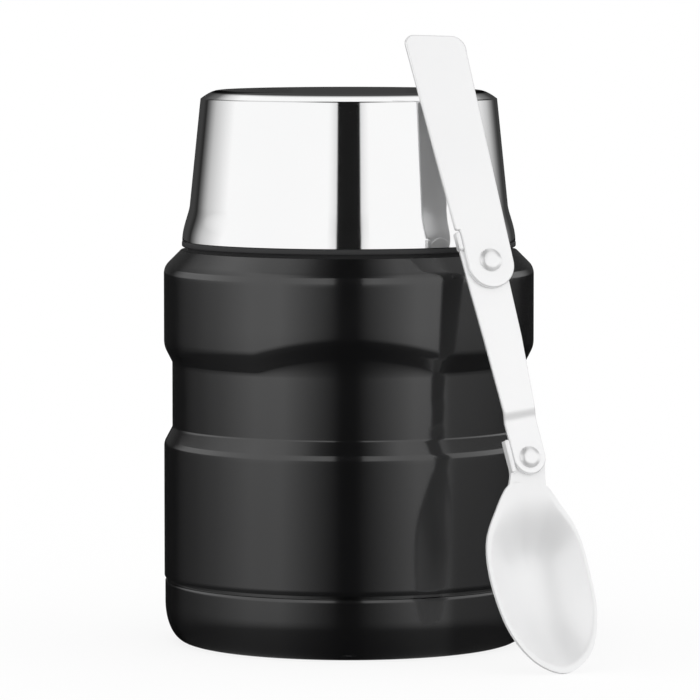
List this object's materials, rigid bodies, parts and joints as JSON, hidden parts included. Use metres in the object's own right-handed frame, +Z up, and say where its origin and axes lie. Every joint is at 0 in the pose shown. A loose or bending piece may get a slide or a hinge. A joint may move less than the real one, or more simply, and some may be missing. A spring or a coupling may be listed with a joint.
{
  "type": "insulated food jar",
  "caption": "Wide vacuum food jar with a waisted dark shell, threaded stopper, polished steel cup lid and a folding steel spoon leaning on its front.",
  "frame": {"origin": "on the jar's axis, in the plane of the foot ring that it stands on", "axes": "+Z up along the jar's axis; -Y is the front, where the spoon leans; +X is to the right seen from the front"},
  "size_m": [0.1077, 0.1159, 0.1544],
  "materials": {
    "black_coat": "glossy near-black coat on drawn steel",
    "steel_satin": "satin stainless steel",
    "steel_polished": "mirror-polished stainless steel",
    "spoon_steel": "satin stainless steel",
    "seal_braze": "brazed pump-out seal",
    "getter_alloy": "sintered grey alloy",
    "copper_foil": "bright reflective foil",
    "silicone": "translucent white silicone",
    "dark_rubber": "dark grey rubber",
    "black_plastic": "fine-textured black polypropylene",
    "grey_plastic": "fine-textured dark grey polypropylene",
    "foam": "rigid insulating foam"
  },
  "bodies": {
    "jar": {"outer_shell": "black_coat", "shell_base": "black_coat", "threaded_neck": "steel_satin", "inner_liner": "steel_satin", "vacuum_base": "steel_satin", "vacuum_seal": "seal_braze", "getter": "getter_alloy", "radiation_foil": "copper_foil"},
    "stopper_seal": {"stopper_gasket": "silicone"},
    "stopper": {"stopper_cap": "black_plastic", "stopper_tray": "grey_plastic", "stopper_plug": "black_plastic", "stopper_foam": "foam"},
    "seat_ring": {"cup_ring": "dark_rubber"},
    "cup": {"cup_shell": "steel_polished", "cup_liner": "steel_satin", "cup_collar": "black_plastic"},
    "bowl": {"spoon_bowl": "spoon_steel", "lower_rivet": "spoon_steel"},
    "link": {"spoon_link": "spoon_steel", "upper_rivet": "spoon_steel"},
    "handle": {"spoon_handle": "spoon_steel"}
  },
  "joints": [
    {"name": "stopper_rise", "type": "slide", "parent": "jar", "child": "stopper_seal", "axis": [0, 0, 1], "range_m": [0, 0.024]},
    {"name": "stopper_turn", "type": "hinge", "parent": "stopper_seal", "child": "stopper", "pos_m": [0, 0, 0.117], "axis": [0, 0, 1], "range_deg": [0, 720]},
    {"name": "cup_rise", "type": "slide", "parent": "stopper_seal", "child": "seat_ring", "axis": [0, 0, 1], "range_m": [0, 0.036]},
    {"name": "cup_turn", "type": "hinge", "parent": "seat_ring", "child": "cup", "pos_m": [0, 0, 0.101], "axis": [0, 0, 1], "range_deg": [0, 1080]},
    {"name": "spoon_lift", "type": "slide", "parent": "seat_ring", "child": "bowl", "axis": [0, 0, 1], "range_m": [0, 0.15]},
    {"name": "link_fold", "type": "hinge", "parent": "bowl", "child": "link", "pos_m": [0.04394, -0.05229, 0.05131], "axis": [-0.3243, 0.8911, -0.3173], "range_deg": [0, 180]},
    {"name": "handle_fold", "type": "hinge", "parent": "link", "child": "handle", "pos_m": [0.03453, -0.04133, 0.09895], "axis": [-0.3243, 0.8911, -0.3173], "range_deg": [0, 180]}
  ],
  "couplings": [
    {"joint": "stopper_rise", "follows": "stopper_turn", "m_per_rad": 0.0019099},
    {"joint": "cup_rise", "follows": "cup_turn", "m_per_rad": 0.0019099}
  ]
}
